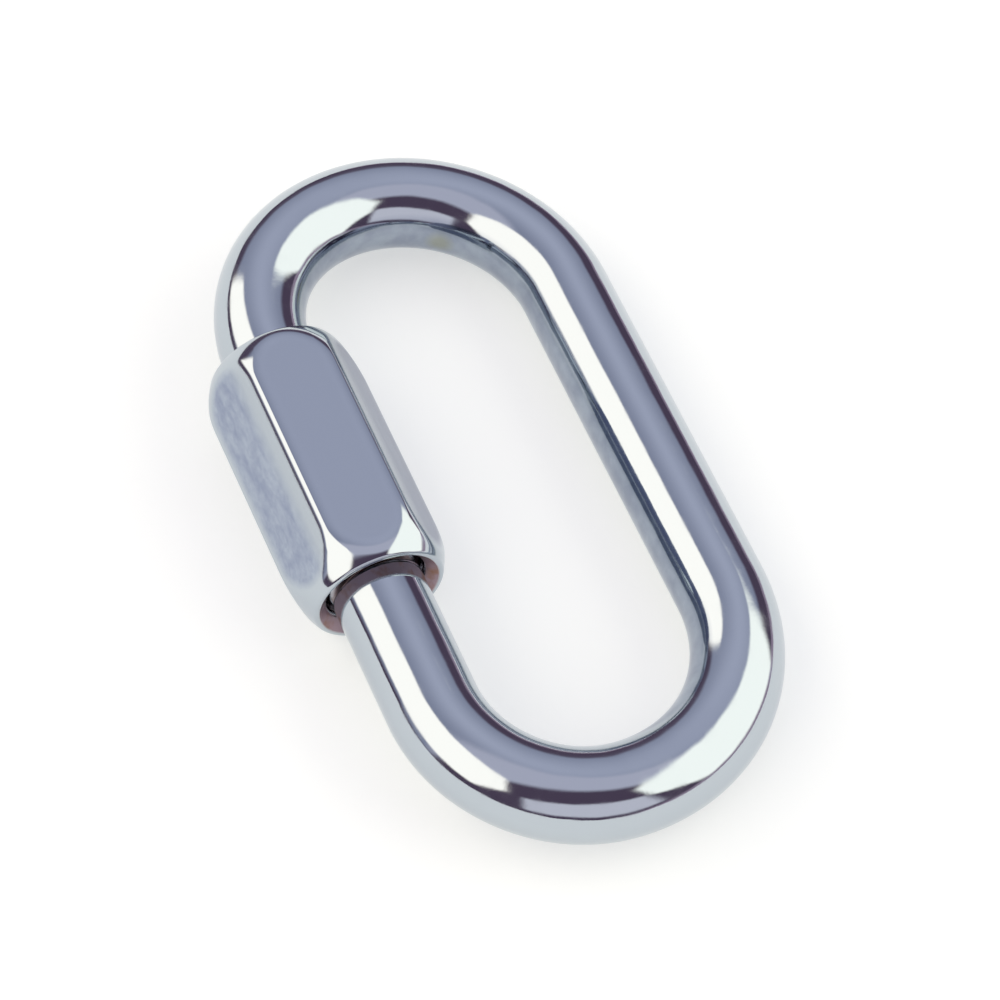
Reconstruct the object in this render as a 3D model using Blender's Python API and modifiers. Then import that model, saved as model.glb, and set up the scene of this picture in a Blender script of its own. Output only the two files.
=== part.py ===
"""A chain quick link: a round bar bent into an oval with a gap in one leg, and a hexagonal nut
that closes the gap.

The link lies as it comes to rest, on one flat of the nut and on its far leg. +Y runs along the
link towards the nut's closed end, +Z is up, and the origin is under the middle of its outline.
Each piece is first made in the plane of the oval, whose middle is its own origin.
"""

import math

import bmesh
import bpy
from mathutils import Matrix

MM = 0.001

# The bar and the oval. The inside length is clear, and the legs' spacing is between their axes.
BAR_DIAMETER = 8.0 * MM
INSIDE_LENGTH = 54.5 * MM
LEG_SPACING = 28.0 * MM
NUT_SIDE_BEND = 12.25 * MM

# The threads, as plain cylinders at the pitch diameter. A turn of the nut moves it one pitch.
THREAD_PITCH = 1.25 * MM
THREAD_DEPTH = 0.4 * MM
LEG_THREAD_LENGTH = 13.7 * MM
THREAD_CHAMFER = 0.6 * MM
TURNS_TO_OPEN = 8.5
OPENING = 8.4 * MM

# The nut: six flats on a turned barrel. Its wall is measured from the bar to a flat, its rim from
# the bar outwards, and its corner cut is what the turning takes off each corner of the hexagon.
NUT_LENGTH = 24.5 * MM
NUT_WALL = 2.25 * MM
NUT_CORNER_CUT = 0.16 * MM
NUT_SETBACK = 0.4 * MM
END_ROUND_RADIUS = 9.0 * MM
RIM_WIDTH = 1.7 * MM
RIM_LAND = 0.25 * MM
MOUTH_ANGLE = math.radians(45)
COUNTERSINK = 0.5 * MM

# The room that moving and touching faces leave each other.
THREAD_CLEARANCE = 0.05 * MM
COUNTERBORE_CLEARANCE = 0.4 * MM
SEAT_GAP = 0.3 * MM

# How far a thread's cylinder is rooted in the bar, and a cutter runs past what it cuts.
THREAD_ROOT = 2.0 * MM
CUT_OVERRUN = 1.0 * MM

# How finely the round forms are divided.
BAR_SIDES = 28
BEND_STEPS = 16
TURNED_STEPS = 72
END_ROUND_STEPS = 8

bar_radius = BAR_DIAMETER / 2
thread_radius = bar_radius - THREAD_DEPTH
counterbore_radius = bar_radius + COUNTERBORE_CLEARANCE
nut_flat_radius = bar_radius + NUT_WALL
nut_corner_radius = nut_flat_radius / math.cos(math.radians(30)) - NUT_CORNER_CUT

# Stations along the nut's leg, from the middle of the oval.
top_axis = INSIDE_LENGTH / 2 + bar_radius
top_bow_start = top_axis - LEG_SPACING / 2
nut_top = top_bow_start - NUT_SETBACK
stub_shoulder = nut_top + SEAT_GAP
leg_end = nut_top - TURNS_TO_OPEN * THREAD_PITCH
stub_end = leg_end + OPENING
leg_shoulder = leg_end - LEG_THREAD_LENGTH
nut_thread_length = LEG_THREAD_LENGTH - SEAT_GAP

# The rest pose: one flat of the nut and the far leg both touch the surface underneath.
lean = math.asin((nut_flat_radius - bar_radius) / LEG_SPACING)
middle_x = (nut_corner_radius - bar_radius) / 2
middle_z = (nut_flat_radius + bar_radius) / 2
nut_x = middle_x - LEG_SPACING / 2 * math.cos(lean)


def clear_scene():
    for old in list(bpy.data.objects):
        bpy.data.objects.remove(old, do_unlink=True)


def new_collection(name):
    collection = bpy.data.collections.new(name)
    bpy.context.scene.collection.children.link(collection)
    return collection


def new_material(name, colour, roughness):
    material = bpy.data.materials.new(name)
    material.use_nodes = True
    shader = material.node_tree.nodes["Principled BSDF"]
    shader.inputs["Base Color"].default_value = (*colour, 1.0)
    shader.inputs["Metallic"].default_value = 1.0
    shader.inputs["Roughness"].default_value = roughness
    return material


def new_object(name, mesh, collection, material=None):
    obj = bpy.data.objects.new(name, mesh)
    collection.objects.link(obj)
    if material is not None:
        mesh.materials.append(material)
    return obj


def as_tool(obj):
    obj.hide_render = True
    obj.display_type = "WIRE"
    return obj


def add_boolean(obj, tool, operation):
    modifier = obj.modifiers.new(f"{operation.lower()}_{tool.name}", "BOOLEAN")
    modifier.operation = operation
    modifier.solver = "EXACT"
    modifier.object = tool


def turned_tool(name, profile, collection, steps):
    """A solid of revolution about Z, from (radius, height) points listed from top to bottom."""
    mesh = bpy.data.meshes.new(name)
    points = [(radius, 0.0, height) for radius, height in profile]
    mesh.from_pydata(points, [(i, i + 1) for i in range(len(points) - 1)], [])
    tool = as_tool(new_object(name, mesh, collection))
    screw = tool.modifiers.new("turn", "SCREW")
    screw.angle = math.tau
    screw.steps = steps
    screw.render_steps = steps
    screw.use_merge_vertices = True
    screw.merge_threshold = 0.00001
    return tool


def arc(centre_x, centre_y, radius, start, end, steps):
    """Points of an arc in the plane of the oval, from one angle to another in degrees."""
    points = []
    for i in range(steps + 1):
        angle = math.radians(start + (end - start) * i / steps)
        points.append((centre_x + radius * math.cos(angle), centre_y + radius * math.sin(angle)))
    return points


def bar_route():
    """The bar's axis, from the stub's shoulder over the top bow, down the far leg and back up to
    the long thread's shoulder. The lower bow is bent tighter on the nut's side."""
    half = LEG_SPACING / 2
    far_bend = LEG_SPACING - NUT_SIDE_BEND
    top_bow = arc(0, top_bow_start, half, 180, 0, 2 * BEND_STEPS)
    far_bow = arc(half - far_bend, far_bend - top_axis, far_bend, 0, -90, BEND_STEPS)
    near_bow = arc(NUT_SIDE_BEND - half, NUT_SIDE_BEND - top_axis, NUT_SIDE_BEND, -90, -180, BEND_STEPS)
    return [(-half, stub_shoulder), *top_bow, *far_bow, *near_bow[1:], (-half, leg_shoulder)]


def bent_bar(name, collection, material):
    """The bar swept along its route, as one welded mesh."""
    curve = bpy.data.curves.new(name, "CURVE")
    curve.dimensions = "3D"
    curve.bevel_depth = bar_radius
    curve.bevel_resolution = (BAR_SIDES - 4) // 2
    curve.use_fill_caps = True
    route = bar_route()
    spline = curve.splines.new("POLY")
    spline.points.add(len(route) - 1)
    for point, (x, y) in zip(spline.points, route):
        point.co = (x, y, 0.0, 1.0)
    guide = bpy.data.objects.new(f"{name}_route", curve)
    collection.objects.link(guide)
    graph = bpy.context.evaluated_depsgraph_get()
    mesh = bpy.data.meshes.new_from_object(guide.evaluated_get(graph))
    mesh.name = name
    bpy.data.objects.remove(guide, do_unlink=True)
    bm = bmesh.new()
    bm.from_mesh(mesh)
    bmesh.ops.remove_doubles(bm, verts=bm.verts, dist=0.00001)
    bmesh.ops.recalc_face_normals(bm, faces=bm.faces)
    bm.to_mesh(mesh)
    bm.free()
    mesh.materials.clear()
    return new_object(name, mesh, collection, material)


def threaded_end(name, shoulder, free_end, collection):
    """A thread's cylinder on the nut's leg, rooted in the bar and chamfered at its free end."""
    outwards = math.copysign(1, free_end - shoulder)
    length = abs(free_end - shoulder) + THREAD_ROOT
    profile = [
        (0.0, length),
        (thread_radius - THREAD_CHAMFER, length),
        (thread_radius, length - THREAD_CHAMFER),
        (thread_radius, 0.0),
        (0.0, 0.0),
    ]
    end = turned_tool(name, profile, collection, BAR_SIDES)
    end.location = (-LEG_SPACING / 2, shoulder - outwards * THREAD_ROOT, 0.0)
    end.rotation_euler = (math.radians(-90 * outwards), 0.0, 0.0)
    return end


def make_link_body(collection, tools, material):
    body = bent_bar("link_body", collection, material)
    for name, shoulder, free_end in (
        ("stub_thread", stub_shoulder, stub_end),
        ("leg_thread", leg_shoulder, leg_end),
    ):
        end = threaded_end(name, shoulder, free_end, tools)
        add_boolean(body, end, "UNION")
        end.parent = body
    body.data.shade_smooth()
    body.data.set_sharp_from_angle(angle=math.radians(30))
    return body


def hex_prism(name, collection, material):
    """A sharp hexagonal bar about Z, with a flat facing +Y."""
    mesh = bpy.data.meshes.new(name)
    bm = bmesh.new()
    corner = nut_flat_radius / math.cos(math.radians(30))
    bmesh.ops.create_cone(bm, cap_ends=True, segments=6, radius1=corner, radius2=corner, depth=NUT_LENGTH)
    bmesh.ops.rotate(bm, verts=bm.verts, matrix=Matrix.Rotation(math.radians(30), 3, "Z"))
    bm.to_mesh(mesh)
    bm.free()
    return new_object(name, mesh, collection, material)


def end_round():
    """(radius, height) points of the barrel's upper end, from its rim down to its full radius."""
    rim = bar_radius + RIM_WIDTH
    depth = math.sqrt(END_ROUND_RADIUS**2 - (END_ROUND_RADIUS - nut_corner_radius + rim) ** 2)
    span = math.asin(depth / END_ROUND_RADIUS)
    points = []
    for i in range(END_ROUND_STEPS + 1):
        angle = span * (1 - i / END_ROUND_STEPS)
        radius = nut_corner_radius - END_ROUND_RADIUS * (1 - math.cos(angle))
        height = NUT_LENGTH / 2 - depth + END_ROUND_RADIUS * math.sin(angle)
        points.append((radius, height))
    return points


def nut_barrel(tools):
    """The turned barrel that takes off the hexagon's corners and rounds its two ends."""
    upper = end_round()
    lower = [(radius, -height) for radius, height in reversed(upper)]
    profile = [(0.0, NUT_LENGTH / 2), *upper, *lower, (0.0, -NUT_LENGTH / 2)]
    return turned_tool("nut_barrel", profile, tools, TURNED_STEPS)


def nut_bore(tools):
    """The hole: a countersunk thread from the top, then the counterbore and its flared mouth."""
    bore = thread_radius + THREAD_CLEARANCE
    mouth = bar_radius + RIM_WIDTH - RIM_LAND
    flare = (mouth - counterbore_radius) / math.tan(MOUTH_ANGLE)
    top = NUT_LENGTH / 2
    profile = [
        (0.0, top + CUT_OVERRUN),
        (bore + COUNTERSINK + CUT_OVERRUN, top + CUT_OVERRUN),
        (bore, top - COUNTERSINK),
        (bore, top - nut_thread_length),
        (counterbore_radius, top - nut_thread_length),
        (counterbore_radius, flare - top),
        (mouth + CUT_OVERRUN * math.tan(MOUTH_ANGLE), -top - CUT_OVERRUN),
        (0.0, -top - CUT_OVERRUN),
    ]
    return turned_tool("nut_bore", profile, tools, TURNED_STEPS)


def make_hex_nut(collection, tools, material):
    nut = hex_prism("hex_nut", collection, material)
    for tool, operation in ((nut_barrel(tools), "INTERSECT"), (nut_bore(tools), "DIFFERENCE")):
        add_boolean(nut, tool, operation)
        tool.parent = nut
    nut.data.shade_smooth()
    nut.data.set_sharp_from_angle(angle=math.radians(30))
    return nut


def place(obj, name, location, lean_angle, collection):
    """Carries an object on a named empty, which leans about the link's long axis."""
    carrier = bpy.data.objects.new(name, None)
    collection.objects.link(carrier)
    carrier.location = location
    carrier.rotation_euler = (0.0, lean_angle, 0.0)
    obj.parent = carrier


def main():
    clear_scene()
    parts = new_collection("chain_quick_link")
    tools = new_collection("turned_tools")
    bar_steel = new_material("polished_stainless_bar", (0.50, 0.52, 0.59), 0.12)
    nut_steel = new_material("polished_stainless_nut", (0.52, 0.55, 0.62), 0.16)

    body = make_link_body(parts, tools, bar_steel)
    place(body, "link_plane", (middle_x, 0.0, middle_z), lean, parts)

    nut = make_hex_nut(parts, tools, nut_steel)
    nut.rotation_euler = (math.radians(-90), 0.0, 0.0)
    place(nut, "nut_slide", (nut_x, nut_top - NUT_LENGTH / 2, nut_flat_radius), 0.0, parts)


main()
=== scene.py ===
import math

import bmesh
import bpy
from mathutils import Matrix, Vector


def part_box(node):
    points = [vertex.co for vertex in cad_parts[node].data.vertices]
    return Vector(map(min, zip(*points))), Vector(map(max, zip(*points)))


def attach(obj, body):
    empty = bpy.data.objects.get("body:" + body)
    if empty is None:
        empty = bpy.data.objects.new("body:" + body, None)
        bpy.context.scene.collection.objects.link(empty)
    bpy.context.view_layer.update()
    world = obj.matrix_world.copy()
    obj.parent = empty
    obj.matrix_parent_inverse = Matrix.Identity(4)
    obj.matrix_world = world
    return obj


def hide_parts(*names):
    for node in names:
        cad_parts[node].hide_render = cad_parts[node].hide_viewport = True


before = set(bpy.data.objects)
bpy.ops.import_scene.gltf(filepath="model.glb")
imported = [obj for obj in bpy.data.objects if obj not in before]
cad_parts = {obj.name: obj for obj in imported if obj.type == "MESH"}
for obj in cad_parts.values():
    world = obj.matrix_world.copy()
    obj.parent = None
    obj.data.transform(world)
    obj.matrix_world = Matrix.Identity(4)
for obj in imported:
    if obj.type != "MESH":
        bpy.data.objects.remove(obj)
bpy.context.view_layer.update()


# The link body. One 8 mm bar of stainless steel is cut to length, threaded M8 at both ends, bent
# into an oval and buffed bright. Its short thread at the closed end of the gap stays in the nut,
# and its long thread lets the nut run back over the bar.
MM = 0.001
bar_radius = 4.0 * MM
leg_spacing = 28.0 * MM
nut_side_bend = 12.25 * MM
nut_wall = 2.25 * MM
nut_travel = 10.625 * MM
opening = 8.4 * MM
leg_thread_length = 13.7 * MM
leg_run_out_start = 0.3 * MM
leg_run_out = 0.35 * MM
stub_run_out_start = 0.3 * MM
stub_run_out = 0.9 * MM
thread_crest = 3.95 * MM
thread_height = 0.72 * MM
thread_half_crest = 0.087 * MM
end_chamfer = 0.95 * MM
stain_depth = 0.45 * MM
flank_slope = math.tan(math.radians(60))

# The motion slides the nut and doesn't turn it. Its travel is nine whole pitches here, so that the
# threads fit each other both shut and open: 1.18 mm each, in place of the 1.25 mm of a real M8.
thread_pitch = nut_travel / 9

bar_sides = 96
bend_steps = 60
rings_per_pitch = 18
ring_gap = thread_pitch / rings_per_pitch
tolerance = 0.01 * MM

nut_low, nut_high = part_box("hex_nut")
link_low, link_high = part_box("link_body")
nut_bottom = nut_low.y
nut_top = nut_high.y
nut_flat_radius = bar_radius + nut_wall
nut_axis_x = (nut_low.x + nut_high.x) / 2
nut_axis_z = nut_low.z + nut_flat_radius
half_spacing = leg_spacing / 2
lean = math.asin(nut_wall / leg_spacing)
far_side_bend = leg_spacing - nut_side_bend
upper_bend_y = link_high.y - bar_radius - half_spacing
far_bend_y = link_low.y + bar_radius + far_side_bend
nut_bend_y = link_low.y + bar_radius + nut_side_bend
leg_end = nut_top - nut_travel
leg_shoulder = leg_end - leg_thread_length
stub_end = leg_end + opening


def go_straight(bm, ring, distance):
    """Draws a ring of edges along Y, and gives back the last ring."""
    step = (0.0, distance, 0.0)
    made = bmesh.ops.spin(bm, geom=ring, cent=(0, 0, 0), axis=(0, 0, 1), dvec=step, angle=0.0, steps=1)
    return made["geom_last"]


def go_round(bm, ring, x, y, angle, steps):
    """Draws a ring of edges round a bend, whose centre is given, and gives back the last ring."""
    made = bmesh.ops.spin(bm, geom=ring, cent=(x, y, 0.0), axis=(0, 0, 1), angle=angle, steps=steps)
    return made["geom_last"]


def thread_radius(outermost, height, half_width, point):
    """The radius of a right-hand 60 degree thread on the nut's axis, at a point of its surface."""
    turn = math.atan2(point.x - nut_axis_x, point.z - nut_axis_z) / math.tau
    share = (point.y / thread_pitch - turn) % 1.0
    along = min(share, 1.0 - share) * thread_pitch
    fall = (along - half_width) * flank_slope
    return outermost - min(max(fall, 0.0), height)


def set_radius(vert, radius):
    """Moves a point straight out from or in to the nut's axis."""
    across = Vector((vert.co.x - nut_axis_x, 0.0, vert.co.z - nut_axis_z))
    middle = Vector((nut_axis_x, vert.co.y, nut_axis_z))
    vert.co = middle + across.normalized() * radius


# The bar is drawn flat round the oval, from the end of its stub to the end of its long thread.
bm = bmesh.new()
start = Matrix.Translation((-half_spacing, stub_end, 0.0)) @ Matrix.Rotation(math.radians(90), 4, "X")
bmesh.ops.create_circle(bm, cap_ends=False, radius=bar_radius, segments=bar_sides, matrix=start)
ring = bm.verts[:] + bm.edges[:]
ring = go_straight(bm, ring, upper_bend_y - stub_end)
ring = go_round(bm, ring, 0.0, upper_bend_y, -math.pi, 2 * bend_steps)
ring = go_straight(bm, ring, far_bend_y - upper_bend_y)
ring = go_round(bm, ring, half_spacing - far_side_bend, far_bend_y, -math.pi / 2, bend_steps)
ring = go_round(bm, ring, nut_side_bend - half_spacing, nut_bend_y, -math.pi / 2, bend_steps)
ring = go_straight(bm, ring, leg_shoulder - nut_bend_y)
ring = go_straight(bm, ring, leg_thread_length)
for length in (upper_bend_y - stub_end, leg_thread_length):
    along = [edge for edge in bm.edges if abs(edge.calc_length() - length) < tolerance]
    bmesh.ops.subdivide_edges(bm, edges=along, cuts=round(length / ring_gap) - 1, use_grid_fill=True)
open_edges = [edge for edge in bm.edges if edge.is_boundary]
end_faces = bmesh.ops.holes_fill(bm, edges=open_edges, sides=0)["faces"]

# How far each point lies towards the inside of the oval, from -1 to 1, for the painted shade there.
inward = bm.verts.layers.float.new("inward")
for vert in bm.verts:
    beyond_legs = vert.co.y - min(max(vert.co.y, -upper_bend_y), upper_bend_y)
    vert[inward] = (half_spacing - math.hypot(vert.co.x, beyond_legs)) / bar_radius

# The oval is laid on the floor, propped by the nut's wall on one side, and the threads are cut.
oval_x = nut_axis_x + half_spacing * math.cos(lean)
oval_z = (nut_axis_z + bar_radius) / 2
laid = Matrix.Translation((oval_x, 0.0, oval_z)) @ Matrix.Rotation(lean, 4, "Y")
bmesh.ops.transform(bm, matrix=laid, verts=bm.verts)
threaded = bm.verts.layers.float.new("threaded")
for vert in bm.verts:
    on_far_side = vert.co.x > nut_axis_x + 2 * bar_radius
    if on_far_side or not leg_shoulder < vert.co.y < upper_bend_y:
        continue
    from_end = vert.co.y - stub_end
    run_out = (nut_top + stub_run_out_start - vert.co.y) / stub_run_out
    if from_end < -ring_gap:
        from_end = leg_end - vert.co.y
        run_out = (vert.co.y - leg_shoulder - leg_run_out_start) / leg_run_out
    radius = thread_radius(thread_crest, thread_height, thread_half_crest, vert.co)
    radius = max(radius, bar_radius - max(run_out, 0.0) * thread_height)
    stained = min((bar_radius - radius) / stain_depth, 1.0)
    vert[threaded] = stained * min(max(from_end / end_chamfer, 0.0), 1.0)
    set_radius(vert, min(radius, thread_crest - end_chamfer + max(from_end, 0.0)))
bmesh.ops.recalc_face_normals(bm, faces=bm.faces)
for face in bm.faces:
    face.smooth = True
for face in end_faces:
    face.smooth = False
    for edge in face.edges:
        edge.smooth = False
link_mesh = bpy.data.meshes.new("bent_bar")
bm.to_mesh(link_mesh)
bm.free()
bent_bar = bpy.data.objects.new("bent_bar", link_mesh)
bpy.context.scene.collection.objects.link(bent_bar)
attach(bent_bar, "link")
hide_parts("link_body")


def linear(hex_colour):
    """Turns an sRGB hex colour into the linear values that a shader takes."""
    channels = [int(hex_colour[i : i + 2], 16) / 255 for i in (1, 3, 5)]
    return (*[c / 12.92 if c <= 0.04045 else ((c + 0.055) / 1.055) ** 2.4 for c in channels], 1.0)


def add_node(tree, kind, values=None, links=None, **settings):
    """Adds a node with its settings, its sockets' values and the nodes or outputs that feed it."""
    node = tree.nodes.new(kind)
    for name, value in settings.items():
        setattr(node, name, value)
    for socket, value in (values or {}).items():
        node.inputs[socket].default_value = value
    for socket, source in (links or {}).items():
        if isinstance(source, bpy.types.Node):
            source = next(output for output in source.outputs if output.enabled)
        tree.links.new(source, node.inputs[socket])
    return node


# Stainless steel, ground and then buffed bright on a cloth wheel: nearly a mirror. The wheel leaves
# it very slightly wavy, so the straight edges in its mirror picture wander, and fine scuffs and
# smears of polish soften them. The real scuffs are too fine to show and are drawn 0.3 mm apart.
# Towards the inside of the oval the steel is painted greyer, with cloudy mottling: a painted shade
# for the shadowed floor that it mirrors there. It has one faint straw-coloured smudge. The wheel
# can't reach into the threads, which stay brown with old oil, polish and some rust.
polished = linear("#bac2c9")
wave_length = 3.5 * MM
wave_height = 0.035 * MM
scuff_spacing = 0.3 * MM
scuff_depth = 0.0015 * MM
smear_size = 2.0 * MM
rust_patch_size = 1.6 * MM
stained_roughness = 0.35
smudge_place = Vector((6.9, 25.7, 4.5)) * MM
smudge_radius = 1.5 * MM
smudge_core = 0.5 * MM
smudge_strength = 0.6

bar_steel = bpy.data.materials.new("buffed_stainless_steel_with_stained_threads")
bar_steel.use_nodes = True
tree = bar_steel.node_tree
shader = tree.nodes["Principled BSDF"]
shader.inputs["Metallic"].default_value = 1.0
place = add_node(tree, "ShaderNodeTexCoord").outputs["Object"]
waves = add_node(tree, "ShaderNodeTexNoise", {"Scale": 1 / wave_length, "Detail": 1.0}, {"Vector": place})
wavy = add_node(tree, "ShaderNodeBump", {"Distance": wave_height}, {"Height": waves})
scuffs = add_node(tree, "ShaderNodeTexNoise", {"Scale": 1 / scuff_spacing, "Detail": 3.0}, {"Vector": place})
scuffed = add_node(tree, "ShaderNodeBump", {"Distance": scuff_depth}, {"Height": scuffs, "Normal": wavy})
smears = add_node(tree, "ShaderNodeTexNoise", {"Scale": 1 / smear_size, "Detail": 5.0}, {"Vector": place})
smeared = add_node(
    tree, "ShaderNodeMapRange",
    {"From Min": 0.42, "From Max": 0.68, "To Min": 0.05, "To Max": 0.13}, {"Value": smears},
)
patches = add_node(
    tree, "ShaderNodeTexNoise", {"Scale": 1 / rust_patch_size, "Detail": 3.0}, {"Vector": place}
)
rusty = add_node(tree, "ShaderNodeMapRange", {"From Min": 0.52, "From Max": 0.7}, {"Value": patches})
brown = add_node(
    tree, "ShaderNodeMix",
    {"A": linear("#8c7e81"), "B": linear("#86634d")}, {"Factor": rusty}, data_type="RGBA",
)
# Painted shade: towards the inside of the oval the steel is coloured greyer and cloudy, for the shadowed
# floor that it mirrors there.
cloudy = add_node(tree, "ShaderNodeMapRange", {"From Min": 0.35, "From Max": 0.65}, {"Value": smears})
cloudy_inner_shade = add_node(
    tree, "ShaderNodeMix",
    {"A": linear("#929aa9"), "B": linear("#a3acb8")}, {"Factor": cloudy}, data_type="RGBA",
)
towards_inside = add_node(tree, "ShaderNodeAttribute", attribute_name="inward").outputs["Fac"]
inner_side_shade = add_node(
    tree, "ShaderNodeMapRange",
    {"From Min": 0.78, "From Max": 0.93}, {"Value": towards_inside}, interpolation_type="SMOOTHSTEP",
)
steel_with_inner_shade = add_node(
    tree, "ShaderNodeMix", {"A": polished}, {"Factor": inner_side_shade, "B": cloudy_inner_shade}, data_type="RGBA"
)
from_smudge = add_node(tree, "ShaderNodeVectorMath", {1: smudge_place}, {0: place}, operation="DISTANCE")
smudge = add_node(
    tree, "ShaderNodeMapRange",
    {"From Min": smudge_radius, "From Max": smudge_core, "To Max": smudge_strength}, {"Value": from_smudge},
)
steel_with_inner_shade = add_node(
    tree, "ShaderNodeMix", {"B": linear("#9d9f88")}, {"Factor": smudge, "A": steel_with_inner_shade}, data_type="RGBA"
)
stain = add_node(tree, "ShaderNodeAttribute", attribute_name="threaded").outputs["Fac"]
colour = add_node(tree, "ShaderNodeMix", links={"Factor": stain, "A": steel_with_inner_shade, "B": brown}, data_type="RGBA")
rough = add_node(tree, "ShaderNodeMix", {"B": stained_roughness}, {"Factor": stain, "A": smeared})
tree.links.new(colour.outputs["Result"], shader.inputs["Base Color"])
tree.links.new(rough.outputs["Result"], shader.inputs["Roughness"])
tree.links.new(scuffed.outputs["Normal"], shader.inputs["Normal"])
link_mesh.materials.append(bar_steel)


# The hex nut. It is stainless steel, turned to a barrel with rounded ends, and bored: a plain
# counterbore with a wide mouth slides over the bar, and the far end is tapped M8. Six flats are
# then milled on the barrel and leave narrow strips of it as corners.
sixth_turn = math.radians(60)
corner_turn = math.radians(7)
nut_corner_cut = 0.16 * MM
end_round_radius = 9.0 * MM
rim_width = 1.7 * MM
rim_land = 0.3 * MM
rim_softness = 0.4 * MM
counterbore_radius = 4.4 * MM
countersink_radius = 4.15 * MM
nut_thread_length = 13.4 * MM
nut_thread_root = 4.05 * MM
nut_thread_half_root = 0.069 * MM
edge_softness = 0.35 * MM
stain_fade = 0.12 * MM
rubbed_width = 0.2 * MM
weld_distance = 0.002 * MM
round_steps = 54
rim_steps = 8
tapped_steps = 200

nut_thread_crest = nut_thread_root - thread_height
barrel_radius = nut_flat_radius / math.cos(sixth_turn / 2) - nut_corner_cut
rim_radius = bar_radius + rim_width
mouth_radius = rim_radius - rim_land
mouth_top = nut_bottom + mouth_radius - counterbore_radius
thread_bottom = nut_top - nut_thread_length

# Each end's large round meets the small round of its rim where the two arcs touch.
round_centre = barrel_radius - end_round_radius
round_depth = math.sqrt(end_round_radius**2 - (rim_radius - round_centre) ** 2)
touch_rise = round_depth - rim_softness
touch_reach = math.sqrt((end_round_radius - rim_softness) ** 2 - touch_rise**2)
round_span = math.atan2(touch_rise, touch_reach)
rim_span = math.radians(90) - round_span
rim_centre = round_centre + touch_reach


def draw_line(bm, vert, radius, along, parts):
    """Draws the section's outline on to a radius and a place along the axis, in equal parts."""
    step = (Vector((radius, along, 0.0)) - vert.co) / parts
    made = bmesh.ops.spin(bm, geom=[vert], cent=(0, 0, 0), axis=(0, 0, 1), dvec=step, angle=0.0, steps=parts)
    return next(item for item in made["geom_last"] if isinstance(item, bmesh.types.BMVert))


def draw_arc(bm, vert, radius, along, angle, parts):
    """Draws the section's outline round an arc, whose centre is given."""
    centre = (radius, along, 0.0)
    made = bmesh.ops.spin(bm, geom=[vert], cent=centre, axis=(0, 0, 1), angle=angle, steps=parts)
    return next(item for item in made["geom_last"] if isinstance(item, bmesh.types.BMVert))


# The turned body: its section runs down the outside and back up through the bore.
bm = bmesh.new()
first = bm.verts.new((countersink_radius, nut_top, 0.0))
pen = draw_line(bm, first, rim_centre, nut_top, 6)
pen = draw_arc(bm, pen, rim_centre, nut_top - rim_softness, -rim_span, rim_steps)
pen = draw_arc(bm, pen, round_centre, nut_top - round_depth, -round_span, round_steps)
pen = draw_line(bm, pen, barrel_radius, nut_bottom + round_depth, 10)
pen = draw_arc(bm, pen, round_centre, nut_bottom + round_depth, -round_span, round_steps)
pen = draw_arc(bm, pen, rim_centre, nut_bottom + rim_softness, -rim_span, rim_steps)
pen = draw_line(bm, pen, mouth_radius, nut_bottom, 1)
pen = draw_line(bm, pen, counterbore_radius, mouth_top, 8)
pen = draw_line(bm, pen, counterbore_radius, thread_bottom, 6)
pen = draw_line(bm, pen, nut_thread_crest, thread_bottom + counterbore_radius - nut_thread_crest, 18)
pen = draw_line(bm, pen, nut_thread_crest, nut_top - countersink_radius + nut_thread_crest, tapped_steps)
pen = draw_line(bm, pen, countersink_radius, nut_top, 16)

# A sixth of the turn, from corner to corner, is spun in small steps beside the corners, and is then
# repeated.
section = bm.verts[:] + bm.edges[:]
for turn, steps in ((corner_turn, 12), (sixth_turn - 2 * corner_turn, 16), (corner_turn, 12)):
    made = bmesh.ops.spin(bm, geom=section, cent=(0, 0, 0), axis=(0, 1, 0), angle=turn, steps=steps)
    section = made["geom_last"]
sixth = bm.verts[:] + bm.edges[:] + bm.faces[:]
bmesh.ops.spin(
    bm, geom=sixth, cent=(0, 0, 0), axis=(0, 1, 0), angle=math.tau, steps=6, use_duplicate=True
)
bmesh.ops.remove_doubles(bm, verts=bm.verts, dist=weld_distance)
bmesh.ops.translate(bm, verts=bm.verts, vec=(nut_axis_x, 0.0, nut_axis_z))

# The flats are milled with slightly blunt edges, and the bore is tapped.
milled = bm.verts.layers.float.new("milled")
inside = bm.verts.layers.float.new("inside")
for vert in bm.verts:
    across = Vector((vert.co.x - nut_axis_x, vert.co.z - nut_axis_z))
    radius = across.length
    bore_edge = mouth_radius if vert.co.y < thread_bottom else countersink_radius
    from_rubbed_edge = math.hypot(radius - counterbore_radius, vert.co.y - mouth_top)
    rubbed = max(1.0 - from_rubbed_edge / rubbed_width, 0.0)
    vert[inside] = min(max((bore_edge - radius) / stain_fade, 0.0), 1.0 - rubbed)
    if radius > nut_flat_radius - edge_softness:
        turn = math.atan2(across.x, across.y) % sixth_turn
        flat_radius = nut_flat_radius / math.cos(min(turn, sixth_turn - turn))
        vert[milled] = min(max((radius - flat_radius) / edge_softness, 0.0), 1.0)
        blend = max(edge_softness - abs(radius - flat_radius), 0.0)
        set_radius(vert, min(radius, flat_radius) - blend**2 / (4 * edge_softness))
    elif radius < counterbore_radius and thread_bottom < vert.co.y < nut_top - tolerance:
        groove = thread_radius(nut_thread_root, thread_height, nut_thread_half_root, vert.co)
        set_radius(vert, max(radius, groove))
bmesh.ops.recalc_face_normals(bm, faces=bm.faces)
for face in bm.faces:
    face.smooth = True
nut_mesh = bpy.data.meshes.new("hexagon_nut")
bm.to_mesh(nut_mesh)
bm.free()
hexagon_nut = bpy.data.objects.new("hexagon_nut", nut_mesh)
bpy.context.scene.collection.objects.link(hexagon_nut)
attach(hexagon_nut, "nut")
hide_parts("hex_nut")
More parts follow.
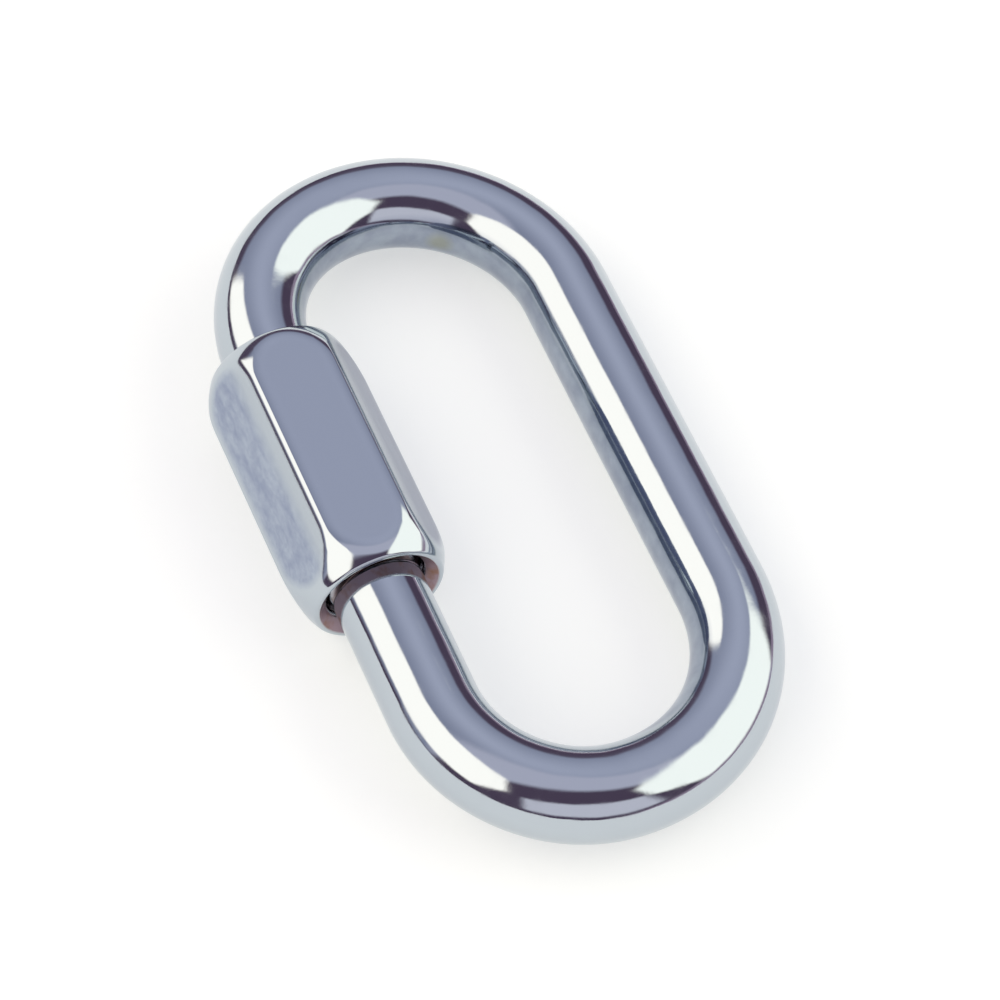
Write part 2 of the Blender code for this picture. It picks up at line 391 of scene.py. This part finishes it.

# The same stainless steel. The turned ends and corners are buffed like the bar. The milled flats
# keep the fine tooth of the cutter, which is drawn as coarse as 0.5 mm to show: they are smooth to
# the touch, but spread what they mirror into soft greys with no picture in them. The top flat keeps
# the lighter grey. The side flats are painted darker, in a mottled haze: a painted shade for the
# darker floor that they mirror. The one towards the oval is painted darkest, a painted shade for the
# shadowed floor inside the oval. The bore holds brown oil, polish and rust, which the bar has
# rubbed off the inner edge of the mouth.
tooth_spacing = 0.5 * MM
tooth_depth = 0.01 * MM
tooth_stretch = (1.0, 0.45, 1.0)
haze_size = 0.9 * MM
top_flat_low = 11.2 * MM
side_flats_high = 10.0 * MM
oval_side_start = nut_axis_x + 3.0 * MM
oval_side_full = nut_axis_x + 5.0 * MM
oval_side_shade_share = 0.7
buffed_roughness = 0.08
milled_roughness = 0.22

nut_steel = bpy.data.materials.new("milled_stainless_steel_with_buffed_ends_and_painted_shade")
nut_steel.use_nodes = True
tree = nut_steel.node_tree
shader = tree.nodes["Principled BSDF"]
shader.inputs["Metallic"].default_value = 1.0
place = add_node(tree, "ShaderNodeTexCoord").outputs["Object"]
on_flat = add_node(tree, "ShaderNodeAttribute", attribute_name="milled").outputs["Fac"]
in_bore = add_node(tree, "ShaderNodeAttribute", attribute_name="inside").outputs["Fac"]
drawn_out = add_node(tree, "ShaderNodeVectorMath", {1: tooth_stretch}, {0: place}, operation="MULTIPLY")
tooth = add_node(
    tree, "ShaderNodeTexNoise", {"Scale": 1 / tooth_spacing, "Detail": 3.0}, {"Vector": drawn_out}
)
bite = add_node(tree, "ShaderNodeMath", {1: tooth_depth}, {0: on_flat}, operation="MULTIPLY")
toothed = add_node(tree, "ShaderNodeBump", links={"Height": tooth, "Distance": bite})
# Painted shade: the side flats get darker greys than the top flat, for the darker floor that they mirror, in
# a mottled haze.
haze = add_node(
    tree, "ShaderNodeTexNoise",
    {"Scale": 1 / haze_size, "Detail": 6.0, "Roughness": 0.7}, {"Vector": drawn_out},
)
hazy = add_node(tree, "ShaderNodeMapRange", {"From Min": 0.35, "From Max": 0.65}, {"Value": haze})
shaded_haze = add_node(
    tree, "ShaderNodeMix",
    {"A": linear("#8f98ae"), "B": linear("#a8b1c0")}, {"Factor": hazy}, data_type="RGBA",
)
position = add_node(tree, "ShaderNodeSeparateXYZ", links={"Vector": place})
below_top = add_node(
    tree, "ShaderNodeMapRange",
    {"From Min": top_flat_low, "From Max": side_flats_high}, {"Value": position.outputs["Z"]},
)
flats = add_node(
    tree, "ShaderNodeMix", {"A": linear("#b4bcc4")}, {"Factor": below_top, "B": shaded_haze}, data_type="RGBA"
)
# Painted shade: the flat towards the oval is darkened further, for the shadowed floor inside the oval that it
# mirrors.
oval_side_shade = add_node(
    tree, "ShaderNodeMapRange",
    {"From Min": oval_side_start, "From Max": oval_side_full, "To Max": oval_side_shade_share},
    {"Value": position.outputs["X"]},
)
flats = add_node(
    tree, "ShaderNodeMix", {"B": linear("#677088")}, {"Factor": oval_side_shade, "A": flats}, data_type="RGBA"
)
patches = add_node(
    tree, "ShaderNodeTexNoise", {"Scale": 1 / rust_patch_size, "Detail": 3.0}, {"Vector": place}
)
rusty = add_node(tree, "ShaderNodeMapRange", {"From Min": 0.54, "From Max": 0.78}, {"Value": patches})
brown = add_node(
    tree, "ShaderNodeMix",
    {"A": linear("#a9919a"), "B": linear("#966a50")}, {"Factor": rusty}, data_type="RGBA",
)
colour = add_node(tree, "ShaderNodeMix", {"A": polished}, {"Factor": on_flat, "B": flats}, data_type="RGBA")
colour = add_node(tree, "ShaderNodeMix", links={"Factor": in_bore, "A": colour, "B": brown}, data_type="RGBA")
rough = add_node(tree, "ShaderNodeMix", {"A": buffed_roughness, "B": milled_roughness}, {"Factor": on_flat})
rough = add_node(tree, "ShaderNodeMix", {"B": stained_roughness}, {"Factor": in_bore, "A": rough})
tree.links.new(colour.outputs["Result"], shader.inputs["Base Color"])
tree.links.new(rough.outputs["Result"], shader.inputs["Roughness"])
tree.links.new(toothed.outputs["Normal"], shader.inputs["Normal"])
nut_mesh.materials.append(nut_steel)


# The floor: matt white paper. It keeps the link's shadow. The plain white added to it is seen by the
# camera and in what metal mirrors or glass shows, and doesn't light the link.
floor_half_size = 4.0
floor_white = 0.45
bm = bmesh.new()
bmesh.ops.create_grid(bm, x_segments=1, y_segments=1, size=floor_half_size)
floor_mesh = bpy.data.meshes.new("floor")
bm.to_mesh(floor_mesh)
bm.free()
floor = bpy.data.objects.new("floor", floor_mesh)
bpy.context.scene.collection.objects.link(floor)
paper = bpy.data.materials.new("white_paper")
paper.use_nodes = True
tree = paper.node_tree
tree.nodes.clear()
matt = add_node(tree, "ShaderNodeBsdfDiffuse", {"Color": linear("#d5d8d5")})
ray = add_node(tree, "ShaderNodeLightPath").outputs
seen = add_node(
    tree, "ShaderNodeMath",
    links={0: ray["Is Camera Ray"], 1: ray["Is Glossy Ray"]}, operation="MAXIMUM",
)
seen = add_node(tree, "ShaderNodeMath", links={0: seen, 1: ray["Is Transmission Ray"]}, operation="MAXIMUM")
added = add_node(tree, "ShaderNodeMath", {1: floor_white}, {0: seen}, operation="MULTIPLY")
white = add_node(tree, "ShaderNodeEmission", links={"Strength": added})
both = add_node(tree, "ShaderNodeAddShader", links={0: matt, 1: white})
add_node(tree, "ShaderNodeOutputMaterial", links={"Surface": both})
floor_mesh.materials.append(paper)


# The light: a dim studio, painted on the world as panels of cloth and card, each laid over the last.
# A panel is cut out by straight edges, each given by the direction that it faces: what lies on that
# side of all of them is covered.
world = bpy.data.worlds.new("studio")
bpy.context.scene.world = world
world.use_nodes = True
studio = world.node_tree
studio.nodes.clear()
direction = add_node(studio, "ShaderNodeTexCoord").outputs["Generated"]


def cover(shown, colour, strength, softness, *edges):
    """Lays a panel over what is shown so far, and gives back what is shown then."""
    covered = None
    for edge in edges:
        facing = Vector(edge).normalized()
        within = add_node(
            studio, "ShaderNodeVectorMath", {1: facing}, {0: direction}, operation="DOT_PRODUCT"
        )
        within = add_node(
            studio, "ShaderNodeMapRange",
            {"From Min": -softness, "From Max": softness}, {"Value": within},
            interpolation_type="SMOOTHSTEP",
        )
        if covered is not None:
            within = add_node(studio, "ShaderNodeMath", links={0: covered, 1: within}, operation="MULTIPLY")
        covered = within
    bright = [channel * strength for channel in linear(colour)[:3]] + [1.0]
    return add_node(studio, "ShaderNodeMix", {"B": bright}, {"Factor": covered, "A": shown}, data_type="RGBA")


shown = add_node(studio, "ShaderNodeRGB")
shown.outputs[0].default_value = linear("#5f5064")
# A dim strip along the horizon on the right.
shown = cover(shown, "#b29db0", 1.0, 0.03, (0.11, 0.0, -1.0), (1.0, -0.3, 0.0))
# The ceiling behind the object, dim, and its lit middle.
shown = cover(shown, "#a4a7bd", 1.0, 0.07, (0.0, 1.0, 0.0), (-1.0, -0.35, 2.1), (0.0, -0.24, 1.0))
shown = cover(
    shown, "#ced0e4", 1.0, 0.4, (1.0, 0.1, 0.05), (-1.0, 0.0, 0.8), (0.0, -0.4, 1.0), (0.0, 1.0, 0.0)
)
# The pale ceiling overhead and in front.
shown = cover(shown, "#d8d6e7", 1.0, 0.08, (0.0, -1.0, 0.12), (0.0, 1.0, 0.45))
# A white card low in front.
shown = cover(
    shown, "#f0ecf6", 1.0, 0.05,
    (0.0, -1.0, -1.3), (1.28, -1.0, 0.0), (-1.88, -1.0, 0.0), (0.0, 0.13, 1.0),
)
# The large soft boxes, on the left and on the right.
shown = cover(
    shown, "#fff6ea", 1.95, 0.045,
    (-1.0, 0.0, -0.485), (-1.0, -0.5, 0.34), (-1.0, 1.0, -0.1), (-0.33, 1.0, 0.7), (0.22, 0.0, 1.0),
)
shown = cover(
    shown, "#fffdf2", 1.74, 0.045,
    (0.0, -1.0, 0.6), (1.0, -0.25, -0.62), (1.98, 1.0, -0.21), (0.83, 1.0, 0.76), (-0.1, 0.0, 1.0),
)
lit = add_node(studio, "ShaderNodeBackground", links={"Color": shown})
add_node(studio, "ShaderNodeOutputWorld", links={"Surface": lit})


# The camera: a long lens, high over the near left of the link, looking down at it and rolled a
# little.
camera_place = Vector((-96.58, -169.96, 293.06)) * MM
camera_target = Vector((0.76, -2.18, 6.0)) * MM
camera_roll = math.radians(8.56)
camera = bpy.data.cameras.new("camera")
camera.lens = 147.74
camera.sensor_width = 36.0
camera.clip_start = 0.01
camera.clip_end = 20.0
eye = bpy.data.objects.new("camera", camera)
bpy.context.scene.collection.objects.link(eye)
aimed = (camera_target - camera_place).to_track_quat("-Z", "Y").to_matrix().to_4x4()
eye.matrix_world = Matrix.Translation(camera_place) @ aimed @ Matrix.Rotation(camera_roll, 4, "Z")
bpy.context.scene.camera = eye
bpy.context.scene.view_settings.view_transform = "Standard"
